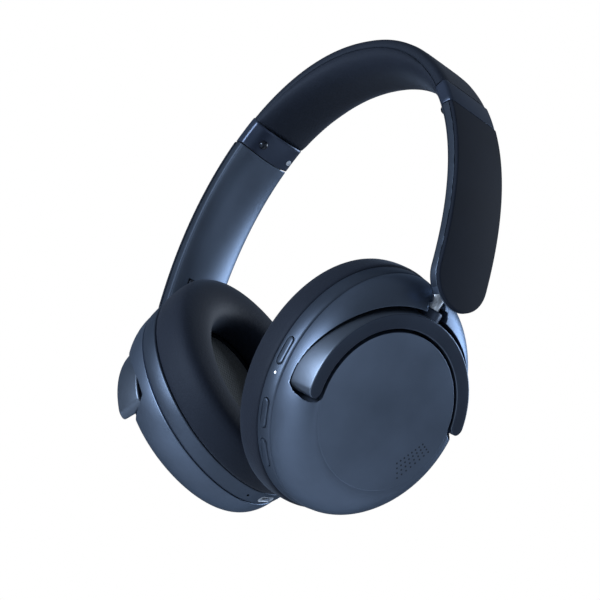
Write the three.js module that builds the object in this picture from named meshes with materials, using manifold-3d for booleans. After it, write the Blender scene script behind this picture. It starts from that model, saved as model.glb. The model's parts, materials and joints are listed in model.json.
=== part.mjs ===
// Wireless over-ear headphones: a sprung headband, two hinged hollow arms with sliding
// carriages, two swivelling yokes and two tilting ear cups with drivers, boards and cushions.
// Millimetres. +X is the wearer's right, +Y the wearer's front, +Z up.
import * as THREE from 'three';
import { mergeVertices } from 'three/addons/utils/BufferGeometryUtils.js';
import Module from 'manifold-3d';

const wasm = await Module();
wasm.setup();

// ---------------------------------------------------------------- driving dimensions
const GAP = 0.3;
const RAD = Math.PI / 180;

// The arch is the outer face of the arms and headband, seen from the front.
const ARCH = { halfWidth: 80.1, rise: 109.6, shoulder: 92.37, power: 2.1, band: 13.4 };
const CROWN = 90;
const SLIT = 40; // degrees round the arch where an arm meets its bracket
const BRACKET_TOP = 48;

const ARM = { endCentre: 91.27, edgeDepth: 4.2, midDepth: 8.7, wall: 1.5, plate: 1.6,
  reliefX: 75.7, reliefTop: 87.5 };
const HINGE = { drop: 9, radius: 10.39, depth: 5.2, pin: 1.2 };
const CARRIAGE = { inner: 71, outer: 77.3, halfWidth: 7.7, bottom: 92.4, top: 104.4 };
const STRIP = { inner: 74, outer: 75.2, halfWidth: 6, bottom: 100.5, top: 121.5 };

// Each cup has its own axes: x outward through the disc, y forward, z up along the swivel.
const CUP = { x: 52.97, z: 45.99, lean: 22.44, leftTilt: 10.43 };
const DISC = { radius: 31, centre: -6, top: 7.2 };
const RIM = { up: 48.85, across: 40, centre: -3.35, height: -9.1 };
const SEAM = { up: 49.4, across: 41, centre: -3.3, height: -17 };
const SHELL = 1.6;
const YOKE = { inner: 32.2, outer: 37.8, top: 7.5, bottom: -5, rear: -107, front: 80.5 };
const MOAT = { outer: 39.6, topRoom: 1.9, tipRoom: 1.5, floor: -5.7, end: 14,
  rear: -110.5, front: 84.5 };
const TILT_AXIS = { x: 0.5, z: 2 };
const SWIVEL_X = -0.3;
const STEM = { radius: 2.8, bore: 3.1, bottom: 28.8, collar: 50.5, top: 57, head: 4 };
const NOTCH = { floor: -12.2, half: 3.5, bossHalf: 6.3, bossEnd: 38.6 };
const CUSHION = { up: 50.4, across: 41.2, holeUp: 30, holeAcross: 21, face: -33.9 };
const BUTTON_CENTRES = { power: -92.4, volume_up: -121.9, volume_down: -142 };
const BUTTON = { length: 11.4, width: 3.4, depth: -13.2 };
const PORT_ANGLE = 158;
const JACK_ANGLE = 140;
const JACK_DEPTH = -12.8;

const COLOURS = {
  shell: [0x1d2a44, 0.38, 0.55],
  matte: [0x1b2336, 0.6, 0.2],
  gloss: [0x1a2747, 0.2, 0.5],
  leather: [0x151a2a, 0.55, 0],
  cover: [0x1f2636, 0.5, 0],
  steel: [0xb8bcc4, 0.3, 1],
  dark: [0x101218, 0.6, 0],
  cloth: [0x1e2322, 0.95, 0],
  board: [0x12402a, 0.6, 0],
  cell: [0x8c9097, 0.4, 0.6],
  lens: [0xf2f4f6, 0.3, 0],
};

// ---------------------------------------------------------------- solids and booleans
function solidOf(geometry) {
  const bare = geometry.clone();
  bare.deleteAttribute('normal');
  bare.deleteAttribute('uv');
  const merged = mergeVertices(bare, 1e-4);
  const vertProperties = new Float32Array(merged.attributes.position.array);
  const triVerts = new Uint32Array(merged.index.array);
  return new wasm.Manifold(new wasm.Mesh({ numProp: 3, vertProperties, triVerts }));
}

function geometryOf(solid) {
  const mesh = solid.getMesh();
  const geometry = new THREE.BufferGeometry();
  geometry.setAttribute('position', new THREE.BufferAttribute(mesh.vertProperties, 3));
  geometry.setIndex(new THREE.BufferAttribute(mesh.triVerts, 1));
  return geometry;
}

const join = (first, ...rest) => geometryOf(
  rest.reduce((sum, next) => sum.add(solidOf(next)), solidOf(first)));
const cut = (first, ...rest) => geometryOf(
  rest.reduce((left, next) => left.subtract(solidOf(next)), solidOf(first)));
const common = (first, second) => geometryOf(solidOf(first).intersect(solidOf(second)));

// Closed skin through rings of points, outline giving the flat shape of both end caps.
// With no outline the last ring joins the first, as on a cushion.
function loft(rings, outline) {
  const count = rings[0].length;
  const index = [];
  const spans = outline ? rings.length - 1 : rings.length;
  for (let ring = 0; ring < spans; ring += 1) {
    for (let i = 0; i < count; i += 1) {
      const a = ring * count + i;
      const b = ring * count + (i + 1) % count;
      const next = (ring + 1) % rings.length;
      const c = next * count + (i + 1) % count;
      const d = next * count + i;
      index.push(a, b, c, a, c, d);
    }
  }
  if (outline) {
    const last = (rings.length - 1) * count;
    const turned = THREE.ShapeUtils.isClockWise(outline);
    for (const [a, b, c] of THREE.ShapeUtils.triangulateShape(outline, [])) {
      index.push(...(turned ? [a, b, c] : [a, c, b]));
      index.push(...(turned ? [last + a, last + c, last + b] : [last + a, last + b, last + c]));
    }
  }
  const geometry = new THREE.BufferGeometry().setFromPoints(rings.flat());
  geometry.setIndex(index);
  return outward(geometry);
}

function outward(geometry) {
  const p = geometry.attributes.position;
  const corners = [new THREE.Vector3(), new THREE.Vector3(), new THREE.Vector3()];
  const index = geometry.index.array;
  let volume = 0;
  for (let i = 0; i < index.length; i += 3) {
    corners.forEach((corner, k) => corner.fromBufferAttribute(p, index[i + k]));
    volume += corners[0].dot(corners[1].cross(corners[2]));
  }
  return volume < 0 ? flipped(geometry) : geometry;
}

function flipped(geometry) {
  const index = geometry.index.array;
  for (let i = 0; i < index.length; i += 3) {
    [index[i + 1], index[i + 2]] = [index[i + 2], index[i + 1]];
  }
  return geometry;
}

// A left-hand piece is its right-hand twin reflected across the middle.
function handed(geometry, side) {
  if (side > 0) return geometry;
  const merged = mergeVertices(stripped(geometry), 1e-4);
  merged.scale(-1, 1, 1);
  return flipped(merged);
}

function stripped(geometry) {
  const bare = geometry.clone();
  bare.deleteAttribute('normal');
  bare.deleteAttribute('uv');
  return bare;
}

function box(x0, x1, y0, y1, z0, z1) {
  const geometry = new THREE.BoxGeometry(x1 - x0, y1 - y0, z1 - z0);
  return geometry.translate((x0 + x1) / 2, (y0 + y1) / 2, (z0 + z1) / 2);
}

// Cylinders along each cup or world axis, given their two ends.
function rodX(radius, x0, x1, y, z, sides = 16) {
  const geometry = new THREE.CylinderGeometry(radius, radius, x1 - x0, sides);
  return geometry.rotateZ(-Math.PI / 2).translate((x0 + x1) / 2, y, z);
}

function rodY(radius, x, y0, y1, z, sides = 12) {
  const geometry = new THREE.CylinderGeometry(radius, radius, y1 - y0, sides);
  return geometry.translate(x, (y0 + y1) / 2, z);
}

function rodZ(radius, x, y, z0, z1, sides = 16) {
  const geometry = new THREE.CylinderGeometry(radius, radius, z1 - z0, sides);
  return geometry.rotateX(Math.PI / 2).translate(x, y, (z0 + z1) / 2);
}

// ---------------------------------------------------------------- the arch
// Angles run from the right shoulder (0) over the crown (90) to the left shoulder (180).
// Each degree below zero is one millimetre down the straight leg of the right arm.
function archPoint(angle) {
  if (angle < 0) return new THREE.Vector3(ARCH.halfWidth, 0, ARCH.shoulder + angle);
  const c = Math.cos(angle * RAD);
  const x = ARCH.halfWidth * Math.sign(c) * Math.abs(c) ** (2 / ARCH.power);
  const z = ARCH.rise * Math.max(0, Math.sin(angle * RAD)) ** (2 / ARCH.power);
  return new THREE.Vector3(x, 0, ARCH.shoulder + z);
}

function archFrame(angle) {
  const step = 0.05;
  const along = archPoint(angle + step).sub(archPoint(angle - step)).normalize();
  const out = new THREE.Vector3(along.z, 0, -along.x);
  return { origin: archPoint(angle), along, out };
}

function onArch(angle, depth, y, shift = 0) {
  const { origin, along, out } = archFrame(angle);
  return origin.addScaledVector(out, -depth).addScaledVector(along, shift)
    .add(new THREE.Vector3(0, y, 0));
}

function sweep(angles, section) {
  const sectionAt = typeof section === 'function' ? section : () => section;
  const rings = angles.map((angle) => sectionAt(angle)
    .map(([depth, y]) => onArch(angle, depth, y)));
  return loft(rings, sectionAt(angles[0]).map(([depth, y]) => new THREE.Vector2(depth, y)));
}

function steps(from, to, count) {
  return Array.from({ length: count + 1 }, (_, i) => from + (to - from) * i / count);
}

// Half a section, from the outer face to the inner one, reflected to the other edge.
function bothSides(half) {
  const other = half.filter(([, y]) => y > 0.01).map(([depth, y]) => [depth, -y]);
  return [...half, ...other.reverse()];
}

const HALF = ARCH.band;
const ARM_ANGLES = [-40, ...steps(-8, SLIT + 4, 11)];

function armSection(top, inset) {
  return bothSides([
    [top, HALF - inset],
    [ARM.edgeDepth - inset * 0.5, HALF - inset],
    [ARM.edgeDepth + 2 - inset * 0.9, 12.2 - inset * 0.9],
    [ARM.midDepth - 1.1 - inset, 9.4 - inset * 0.5],
    [ARM.midDepth - 0.25 - inset, 5],
    [ARM.midDepth - inset, 0],
  ]);
}

// The front view of an arm: parallel edges and a round lower end.
function armOutline(inset) {
  const shape = new THREE.Shape();
  const half = HALF - inset;
  shape.moveTo(half, 215);
  shape.lineTo(half, ARM.endCentre);
  shape.absarc(0, ARM.endCentre, half, 0, -Math.PI, true);
  shape.lineTo(-half, 215);
  const geometry = new THREE.ExtrudeGeometry(shape, {
    depth: 60, bevelEnabled: false, curveSegments: 12,
  });
  return geometry.rotateX(Math.PI / 2).rotateZ(Math.PI / 2).translate(40, 0, 0);
}

function hingePoint() {
  return onArch(SLIT, HINGE.depth, 0, -HINGE.drop);
}

// Everything on the arm's side of the hinge arc, with the given extra radius.
function belowSlit(extra) {
  const pivot = hingePoint();
  const { along } = archFrame(SLIT);
  const angle = Math.atan2(along.x, along.z);
  const round = rodY(HINGE.radius + extra, 0, -20, 20, 0, 48);
  const slab = box(-120, 60, -20, 20, -120, 0);
  return join(round, slab).rotateY(angle).translate(pivot.x, 0, pivot.z);
}

// ---------------------------------------------------------------- headband
const BAND_ANGLES = steps(BRACKET_TOP + 0.2, 180 - BRACKET_TOP - 0.2, 18);

function headbandCover() {
  return sweep(BAND_ANGLES, bothSides([
    [0, 10.5], [0.7, 12.6], [2.2, HALF], [4.6, HALF], [4.6, 11.8], [2.2, 11.8],
  ]));
}

function headbandSpring() {
  return sweep(steps(BRACKET_TOP - 2, 182 - BRACKET_TOP, 16), bothSides([[2.6, 8], [3.4, 8]]));
}

function headbandCarrier() {
  return sweep(steps(BRACKET_TOP + 0.4, 179.6 - BRACKET_TOP, 16),
    bothSides([[3.75, 11.4], [4.6, 11.4]]));
}

// The pad is deepest at the crown and thins towards the brackets.
function headbandCushion() {
  return sweep(BAND_ANGLES, (angle) => {
    const swell = Math.sin((angle - BRACKET_TOP) / (CROWN - BRACKET_TOP) * 90 * RAD);
    const edge = 6.6 + 2 * swell;
    const middle = ARM.midDepth + 0.2 + 4.6 * swell;
    return bothSides([
      [4.9, HALF - 0.3], [edge, HALF], [(edge + middle) / 2 + 0.6, 10.6],
      [middle - 0.5, 5.6], [middle, 0],
    ]);
  });
}

function bracket() {
  const body = sweep(steps(SLIT - 3, BRACKET_TOP, 4), bothSides([
    [0, 12], [0.8, 13.2], [1.8, HALF], [ARM.edgeDepth, HALF], [ARM.edgeDepth + 2, 12.2],
    [ARM.midDepth - 1.1, 9.4], [ARM.midDepth - 0.25, 5], [ARM.midDepth, 0],
  ]));
  const slot = sweep([BRACKET_TOP - 3, BRACKET_TOP + 2], bothSides([[2.3, 8.3], [3.7, 8.3]]));
  const trimmed = cut(body, belowSlit(0.17), slot);
  return cut(join(trimmed, bracketTongue()), hingeBore(), ...bracketHoles(1.6, 1.1));
}

// A tongue reaches down inside the hollow arm to the hinge pin.
function bracketTongue() {
  const pivot = hingePoint();
  const eye = rodY(2, pivot.x, -5, 5, pivot.z, 16);
  const root = [[5, -5], [6.8, -5], [6.8, 5], [5, 5]]
    .map(([depth, y]) => onArch(SLIT, depth, y, 3));
  const tip = [[4.3, -5], [6.1, -5], [6.1, 5], [4.3, 5]]
    .map(([depth, y]) => onArch(SLIT, depth, y, -HINGE.drop));
  const outline = [[5, -5], [6.8, -5], [6.8, 5], [5, 5]].map(([a, b]) => new THREE.Vector2(a, b));
  return join(loft([tip, root], outline), eye);
}

function hingeBore() {
  const pivot = hingePoint();
  return rodY(HINGE.pin + GAP, pivot.x, -12.6, 12.6, pivot.z, 12);
}

function hingePin() {
  const pivot = hingePoint();
  return rodY(HINGE.pin, pivot.x, -12.3, 12.3, pivot.z, 12);
}

// Screw and stop peg stand in the inner face of the bracket, square to it.
const SCREW_AT = { angle: 43.8, y: -6.2 };
const PEG_AT = { angle: 43.4, y: 10 };

function studAt({ angle, y }, radius, fromDepth, toDepth, sides) {
  const { out } = archFrame(angle);
  const turn = new THREE.Quaternion().setFromUnitVectors(new THREE.Vector3(0, 1, 0), out);
  const rod = new THREE.CylinderGeometry(radius, radius, toDepth - fromDepth, sides);
  const middle = onArch(angle, (fromDepth + toDepth) / 2, y);
  return rod.applyQuaternion(turn).translate(middle.x, middle.y, middle.z);
}

function bracketHoles(screwRadius, pegRadius) {
  return [
    studAt(SCREW_AT, screwRadius + GAP, 5.4, 12, 12),
    studAt(PEG_AT, pegRadius + GAP, 4.4, 12, 10),
  ];
}

const bracketScrew = () => join(
  studAt(SCREW_AT, 1.6, 5.7, 9.2, 12), studAt(SCREW_AT, 1.1, 9, 9.7, 12));
const stopPeg = () => studAt(PEG_AT, 1.1, 4.7, 7.6, 10);

// ---------------------------------------------------------------- arms and carriages
// The left cup is stored tilted out, so the left arm is relieved for it.
function armShell(side) {
  const outer = common(sweep(ARM_ANGLES, armSection(ARM.plate + GAP, 0)), armOutline(0));
  const hollow = common(
    sweep(ARM_ANGLES, armSection(1, ARM.wall)), armOutline(ARM.wall));
  const carriageway = box(69, CARRIAGE.outer + 1, -CARRIAGE.halfWidth - 0.6,
    CARRIAGE.halfWidth + 0.6, 60, CARRIAGE.top + 1);
  const relief = box(60, ARM.reliefX, -20, 20, 60, ARM.reliefTop);
  const shell = cut(common(outer, belowSlit(-0.17)), hollow, carriageway, hingeBore());
  return side < 0 ? cut(shell, relief) : shell;
}

function armPlate() {
  const skin = sweep(ARM_ANGLES, bothSides([[0, 12.4], [0.5, 13.1], [ARM.plate, HALF]]));
  return common(common(skin, armOutline(0)), belowSlit(-0.17));
}

// Stem and collar lie along the cup's z axis, so they are placed by that frame.
function alongStem(geometry) {
  return geometry.rotateY(CUP.lean * RAD).translate(CUP.x, 0, CUP.z);
}

function carriage() {
  const half = CARRIAGE.halfWidth;
  const block = box(CARRIAGE.inner, CARRIAGE.outer, -half, half, CARRIAGE.bottom, CARRIAGE.top);
  const collar = alongStem(rodZ(4.5, SWIVEL_X, 0, STEM.collar, STEM.top + 2, 20));
  const within = box(60, CARRIAGE.outer, -half, half, 80, CARRIAGE.top);
  const bore = alongStem(rodZ(STEM.bore, SWIVEL_X, 0, 40, STEM.top - 2 - GAP, 16));
  const chamber = alongStem(rodZ(STEM.head + GAP, SWIVEL_X, 0,
    STEM.top - 2 - GAP * 2, STEM.top + GAP, 16));
  const slot = box(STRIP.inner - GAP, STRIP.outer + GAP, -STRIP.halfWidth - GAP,
    STRIP.halfWidth + GAP, STRIP.bottom - GAP, CARRIAGE.top + 2);
  const clearance = alongStem(box(-12, -4.9, -20, 20, 20, 60));
  const body = cut(join(block, common(collar, within)), clearance);
  return cut(body, bore, chamber, slot);
}

function sliderStrip() {
  return box(STRIP.inner, STRIP.outer, -STRIP.halfWidth, STRIP.halfWidth,
    STRIP.bottom, STRIP.top);
}

// ---------------------------------------------------------------- yoke
// Positions round the disc: 0 at the stem, negative towards the rear.
function roundDisc(angle, radius, x) {
  const y = radius * Math.sin(angle * RAD);
  return new THREE.Vector3(x, y, DISC.centre + radius * Math.cos(angle * RAD));
}

function yokeSection(angle) {
  const wide = 0.6 * Math.cos(angle * RAD);
  return [
    [YOKE.inner, YOKE.bottom], [YOKE.inner, YOKE.top - 0.6], [YOKE.inner + 0.6, YOKE.top],
    [YOKE.outer - 0.7 + wide, YOKE.top], [YOKE.outer + 0.1 + wide, YOKE.top - 0.7],
    [YOKE.outer + 1.3 + wide, YOKE.bottom + 0.6], [YOKE.outer + 0.8 + wide, YOKE.bottom],
  ];
}

// Both tips are round: the section narrows over half a width.
function yokeRings() {
  const middle = (YOKE.inner + YOKE.outer) / 2;
  const tip = 3.3 / middle / RAD;
  const angles = [0, 0.25, 0.6].map((part) => YOKE.rear + tip * part);
  angles.push(...steps(YOKE.rear + tip, YOKE.front - tip, 20));
  angles.push(...[0.6, 0.25, 0].map((part) => YOKE.front - tip * part));
  return angles.map((angle) => {
    const inside = Math.min(1, Math.min(angle - YOKE.rear, YOKE.front - angle) / tip);
    const width = Math.max(0.3, Math.sqrt(1 - (1 - inside) ** 2));
    return yokeSection(angle)
      .map(([r, x]) => roundDisc(angle, middle + (r - middle) * width, x));
  });
}

function yoke() {
  const outline = yokeSection(YOKE.rear).map(([r, x]) => new THREE.Vector2(x, r));
  const ring = loft(yokeRings(), outline);
  const boss = rodZ(5.6, 0.6, 0, 28, 36.8, 20);
  const holes = [-1, 1].map((end) => rodY(1.5 + GAP, TILT_AXIS.x,
    ...(end < 0 ? [-36, -30] : [30, 36]), TILT_AXIS.z, 10));
  return cut(join(ring, boss), stemBore(), ...holes);
}

const stemBore = () => rodZ(STEM.bore, SWIVEL_X, 0, STEM.bottom - GAP, 40, 16);

function stem() {
  const shaft = rodZ(STEM.radius, SWIVEL_X, 0, STEM.bottom, STEM.top, 16);
  return join(shaft, rodZ(STEM.head, SWIVEL_X, 0, STEM.top - 2, STEM.top, 16));
}

const pivotPin = (end) => rodY(1.5, TILT_AXIS.x, ...(end < 0 ? [-35.7, -27.5] : [27.5, 35.7]),
  TILT_AXIS.z, 10);

// ---------------------------------------------------------------- ear cup shells
const AROUND = 36;

function ovalRing(x, centre, up, across, count = AROUND) {
  return Array.from({ length: count }, (_, i) => {
    const a = i / count * 2 * Math.PI;
    return new THREE.Vector3(x, across * Math.sin(a), centre + up * Math.cos(a));
  });
}

function flatOutline(ring) {
  return ring.map((p) => new THREE.Vector2(p.y, p.z));
}

// Between the rim (width 1) and the disc (width 0) the dome is a quarter oval.
function domeRing(width, x, inset) {
  const mix = (disc, rim) => disc + (rim - disc) * width - inset;
  const centre = DISC.centre + (RIM.centre - DISC.centre) * width;
  return ovalRing(x, centre, mix(DISC.radius, RIM.up), mix(DISC.radius, RIM.across));
}

function domeSolid(inset, base, heights) {
  const rise = DISC.top - RIM.height;
  const rings = [domeRing(1, base, inset)];
  for (const t of heights) {
    rings.push(domeRing(Math.sqrt(1 - t * t), RIM.height + rise * t - inset * t, inset));
  }
  for (const [radius, x] of [[31, 7.2], [30.3, 8], [27, 8.4], [15, 8.95], [4, 9.15]]) {
    const shrink = inset > 0 ? Math.min(inset, radius - 2) : 0;
    rings.push(ovalRing(x - inset, DISC.centre, radius - shrink, radius - shrink));
  }
  return loft(rings, flatOutline(rings[0]));
}

function ovalPlate(x0, x1, up, across, centre = SEAM.centre, count = AROUND) {
  const rings = [ovalRing(x0, centre, up, across, count), ovalRing(x1, centre, up, across, count)];
  return loft(rings, flatOutline(rings[0]));
}

// The channel for the yoke runs round the upper part of the disc. Its floor falls away from
// the tilt axis, so the yoke has room as the cup tilts.
function channel(grow) {
  const extra = grow / MOAT.outer / RAD;
  const angles = steps(MOAT.rear - extra, MOAT.front + extra, 18);
  const wallAt = (x) => 30.9 + (x - DISC.top) * 0.075 - grow;
  const rings = angles.map((angle) => {
    const reach = DISC.centre + 37 * Math.cos(angle * RAD) - TILT_AXIS.z;
    const floor = MOAT.floor - grow - (reach > 0 ? 0.18 : 0.13) * Math.abs(reach);
    const towardsStem = Math.cos(angle * RAD);
    const room = towardsStem > 0 ? MOAT.topRoom : -MOAT.tipRoom;
    const outer = MOAT.outer + room * towardsStem;
    return [
      roundDisc(angle, wallAt(floor), floor), roundDisc(angle, wallAt(MOAT.end), MOAT.end),
      roundDisc(angle, outer + grow, MOAT.end), roundDisc(angle, outer + grow, floor),
    ];
  });
  const outline = [[0, 0], [0, 1], [1, 1], [1, 0]].map(([a, b]) => new THREE.Vector2(b, a));
  return loft(rings, outline);
}

function stemNotch(grow) {
  const floor = NOTCH.floor - grow;
  const narrow = NOTCH.half + grow;
  const wide = NOTCH.bossHalf + grow;
  return join(
    box(floor, MOAT.end, -narrow, narrow, 33, 54),
    box(floor, MOAT.end, -wide, wide, 30, NOTCH.bossEnd + grow));
}

function housing() {
  const outer = domeSolid(0, RIM.height, [0.3, 0.55, 0.75, 0.9, 0.97]);
  const inner = domeSolid(SHELL, RIM.height - 1, [0.35, 0.7, 0.92]);
  const skirt = ovalPlate(-14, RIM.height, 46.6, 37.8);
  const throat = ovalPlate(-13.9, RIM.height, 49, 40);
  const basin = common(channel(SHELL), join(outer, skirt));
  const trough = common(stemNotch(SHELL), join(outer, throat));
  const pins = [-1, 1].map((end) => rodY(1.8, TILT_AXIS.x,
    ...(end < 0 ? [-35, -27.2] : [27.2, 35]), TILT_AXIS.z, 10));
  return cut(join(cut(outer, inner), basin, trough), channel(0), stemNotch(0), ...pins);
}

// Where a fitting sits in the side wall: on the wall, turned to face out of it.
function inWall(geometry, angle, x = BUTTON.depth) {
  const a = angle * RAD;
  const up = 49.1;
  const across = 40.5;
  const facing = Math.atan2(Math.sin(a) / across, Math.cos(a) / up);
  return geometry.rotateX(-facing)
    .translate(x, across * Math.sin(a), SEAM.centre + up * Math.cos(a));
}

// A long button seen from above, pressed along z; it lies along y.
function pill(length, width, z0, z1) {
  const shape = new THREE.Shape();
  const half = (length - width) / 2;
  shape.absarc(half, 0, width / 2, -Math.PI / 2, Math.PI / 2, false);
  shape.absarc(-half, 0, width / 2, Math.PI / 2, Math.PI * 1.5, false);
  const options = { depth: z1 - z0, bevelEnabled: false, curveSegments: 6 };
  return new THREE.ExtrudeGeometry(shape, options).rotateZ(Math.PI / 2).translate(0, 0, z0);
}

const buttonHole = (angle) => inWall(
  pill(BUTTON.length + 2 * GAP, BUTTON.width + 2 * GAP, -6, 4), angle);
const button = (angle) => inWall(pill(BUTTON.length, BUTTON.width, -2.4, 0.35), angle);

function midFrame(side) {
  const outerRings = [ovalRing(RIM.height - GAP, RIM.centre, RIM.up - 0.2, RIM.across - 0.1),
    ovalRing(SEAM.height, SEAM.centre, SEAM.up, SEAM.across)];
  const outer = loft(outerRings, flatOutline(outerRings[0]));
  const bore = ovalPlate(-18, -8, 47, 38.2);
  const top = box(-14.1, 0, -5.4, 5.4, 30, 60);
  const shell = cut(outer, bore, top);
  if (side < 0) {
    return cut(shell, inWall(pill(9.6, 3.8, -6, 4), PORT_ANGLE),
      inWall(rodZ(2.3, 0, 0, -6, 4, 14), JACK_ANGLE, JACK_DEPTH));
  }
  const holes = Object.values(BUTTON_CENTRES).map(buttonHole);
  return cut(shell, ...holes, inWall(rodZ(1.1, 0, 0, -6, 4, 10), -103));
}

const statusLens = () => inWall(rodZ(0.8, 0, 0, -2.2, 0.1, 10), -103);

function usbPort() {
  const shell = cut(pill(9, 3.2, -6.4, 0), pill(8.2, 2.4, -5.8, 1));
  return inWall(join(shell, pill(6.6, 0.7, -6.2, -1)), PORT_ANGLE);
}

function audioJack() {
  return inWall(cut(rodZ(2, 0, 0, -6, 0, 14), rodZ(1.35, 0, 0, -5.4, 1, 14)), JACK_ANGLE, JACK_DEPTH);
}

// ---------------------------------------------------------------- inside the cups
function turned(profile, sides = 24) {
  const points = [...profile, profile[0]].map(([r, x]) => new THREE.Vector2(r, x));
  const geometry = new THREE.LatheGeometry(points, sides);
  return outward(mergeVertices(stripped(geometry), 1e-4)).rotateZ(-Math.PI / 2)
    .translate(0, 0, SEAM.centre);
}

function baffle() {
  return cut(ovalPlate(-16.9, -15.2, 46.5, 37.7), rodX(20.2, -20, -10, 0, SEAM.centre, 32));
}

// Basket and magnet in one: the flange lies on the baffle.
const driverFrame = () => turned([
  [0.01, -4.5], [12, -4.5], [12, -9.5], [19.2, -11], [22.5, -12.4], [22.5, -14.9],
  [19.6, -14.9], [19.6, -16.4], [18.5, -16.4], [18.5, -13], [11, -11.2], [0.01, -11.2],
]);

const diaphragm = () => turned([
  [0.01, -13.4], [8, -14], [18.1, -15.9], [18.1, -16.3], [8, -14.5], [0.01, -13.9],
]);

function circuitBoard() {
  const board = rodX(24, 3.2, 4.4, 0, DISC.centre, 32);
  return join(board, box(4.2, 5.6, -6, 3, -14, -5), box(4.2, 5.2, 6, 12, 0, 5),
    box(4.2, 5.4, -14, -10, 2, 8));
}

const microphone = () => rodX(2.2, 4.9, 6.4, 19, -16, 12);
const battery = () => box(-3.8, 2.2, -18, 18, -19, 7);

function cushionRing() {
  return cut(ovalPlate(-18.4, -17.3, 47.6, 38.4), ovalPlate(-19, -17, 31, 22));
}

const driverCloth = () => ovalPlate(-18.2, -17.5, 30.4, 21.4);

// Section from the hole (0) to the outside (1), with its height below the disc.
const CUSHION_SECTION = [
  [0.05, -18.7], [0.9, -18.7], [0.9, -17.3], [0.97, -17.3], [1, -21], [1, -26],
  [0.93, -30.5], [0.74, -33.2], [0.5, CUSHION.face], [0.25, -33], [0.06, -30],
  [0, -26], [0, -21.5],
];

function earCushion() {
  const count = 36;
  const rings = Array.from({ length: count }, (_, i) => {
    const a = i / count * 2 * Math.PI;
    return CUSHION_SECTION.map(([part, x]) => {
      const up = CUSHION.holeUp + (CUSHION.up - CUSHION.holeUp) * part;
      const across = CUSHION.holeAcross + (CUSHION.across - CUSHION.holeAcross) * part;
      return new THREE.Vector3(x, across * Math.sin(a), SEAM.centre + up * Math.cos(a));
    });
  });
  return loft(rings);
}

// ---------------------------------------------------------------- assembly
const headphones = new THREE.Group();

function finish(name) {
  const [color, roughness, metalness] = COLOURS[name];
  return new THREE.MeshStandardMaterial({ color, roughness, metalness });
}

function add(parent, name, geometry, look) {
  const mesh = new THREE.Mesh(geometry, finish(look));
  mesh.name = name;
  parent.add(mesh);
}

function addHeadband() {
  add(headphones, 'headband_cover', headbandCover(), 'cover');
  add(headphones, 'headband_spring', headbandSpring(), 'steel');
  add(headphones, 'headband_carrier', headbandCarrier(), 'dark');
  add(headphones, 'headband_cushion', headbandCushion(), 'leather');
}

function addArm(label, side) {
  const pieces = [
    ['bracket', bracket(), 'gloss'], ['bracket_screw', bracketScrew(), 'steel'],
    ['stop_peg', stopPeg(), 'steel'], ['hinge_pin', hingePin(), 'steel'],
    ['arm_shell', armShell(side), 'shell'], ['arm_plate', armPlate(), 'matte'],
    ['carriage', carriage(), 'dark'], ['slider_strip', sliderStrip(), 'steel'],
  ];
  for (const [name, geometry, look] of pieces) {
    add(headphones, `${label}_${name}`, handed(geometry, side), look);
  }
}

function addYoke(label, side) {
  const group = new THREE.Group();
  group.position.set(side * CUP.x, 0, CUP.z);
  group.rotation.y = side * CUP.lean * RAD;
  const pieces = [
    ['yoke', yoke(), 'matte'], ['swivel_stem', stem(), 'steel'],
    ['rear_pivot_pin', pivotPin(-1), 'steel'], ['front_pivot_pin', pivotPin(1), 'steel'],
  ];
  for (const [name, geometry, look] of pieces) {
    add(group, `${label}_${name}`, handed(geometry, side), look);
  }
  headphones.add(group);
  return group;
}

function cupPieces(side) {
  const shared = [
    ['housing', housing(), 'shell'], ['mid_frame', midFrame(side), 'shell'],
    ['baffle', baffle(), 'dark'], ['driver_frame', driverFrame(), 'dark'],
    ['driver_diaphragm', diaphragm(), 'cloth'], ['circuit_board', circuitBoard(), 'board'],
    ['microphone', microphone(), 'steel'], ['cushion_ring', cushionRing(), 'dark'],
    ['driver_cloth', driverCloth(), 'cloth'], ['ear_cushion', earCushion(), 'leather'],
  ];
  if (side < 0) {
    return [...shared, ['battery', battery(), 'cell'], ['usb_port', usbPort(), 'steel'],
      ['audio_jack', audioJack(), 'steel']];
  }
  const buttons = Object.entries(BUTTON_CENTRES)
    .map(([name, angle]) => [`${name}_button`, button(angle), 'shell']);
  return [...shared, ...buttons, ['status_lens', statusLens(), 'lens']];
}

// The cup hangs in its yoke on the tilt axis. The left cup is stored tilted further out.
function addCup(label, side, yokeGroup) {
  const pivot = new THREE.Group();
  pivot.position.set(side * TILT_AXIS.x, 0, TILT_AXIS.z);
  pivot.rotation.y = side < 0 ? -CUP.leftTilt * RAD : 0;
  const cup = new THREE.Group();
  cup.position.set(-side * TILT_AXIS.x, 0, -TILT_AXIS.z);
  for (const [name, geometry, look] of cupPieces(side)) {
    add(cup, `${label}_${name}`, handed(geometry, side), look);
  }
  pivot.add(cup);
  yokeGroup.add(pivot);
}

addHeadband();
for (const [label, side] of [['right', 1], ['left', -1]]) {
  addArm(label, side);
  addCup(label, side, addYoke(label, side));
}

export default headphones;
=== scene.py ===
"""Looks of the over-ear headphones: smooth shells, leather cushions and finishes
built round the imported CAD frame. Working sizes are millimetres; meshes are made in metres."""
import json
import math

import bmesh
import bpy
import numpy as np
from mathutils import Matrix, Vector


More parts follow.
